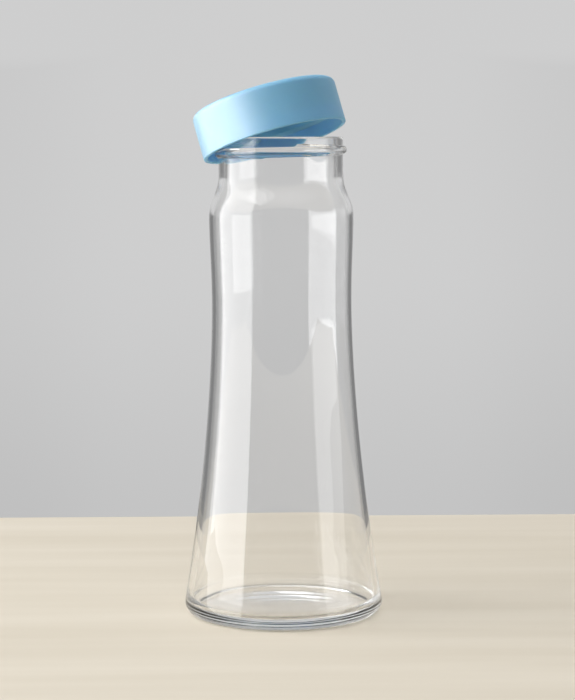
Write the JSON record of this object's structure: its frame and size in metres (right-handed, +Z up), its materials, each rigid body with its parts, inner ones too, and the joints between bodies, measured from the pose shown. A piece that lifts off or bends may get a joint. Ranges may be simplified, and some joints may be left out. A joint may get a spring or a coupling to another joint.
{
  "type": "glass water bottle",
  "caption": "Clear glass bottle with a flared foot, slim waist and wide threaded neck, and a smooth pale blue screw cap lying askew on the lip.",
  "frame": {"origin": "centre of the bottle's base, on the surface it stands on", "axes": "+Z up the bottle's axis; +X to the side where the cap is raised, +Y to the side it leans back to"},
  "size_m": [0.1042, 0.1042, 0.2815],
  "materials": {
    "glass": "clear polished blown glass",
    "cap_plastic": "smooth satin moulded plastic, pale blue",
    "ring_plastic": "moulded plastic, pale blue",
    "seal": "soft translucent white silicone"
  },
  "bodies": {
    "bottle": {"glass_bottle": "glass"},
    "seal": {"cap_seal": "seal"},
    "cap": {"cap_shell": "cap_plastic", "cap_thread_ring": "ring_plastic"}
  },
  "joints": [
    {"name": "cap_lift", "type": "slide", "parent": "bottle", "child": "seal", "axis": [0, 0, 1], "range_m": [0, 0.08]},
    {"name": "cap_turn", "type": "hinge", "parent": "seal", "child": "cap", "pos_m": [-0.00287, -0.0005, 0.2477], "axis": [-0.2655, 0.1614, 0.9505], "continuous": true}
  ]
}
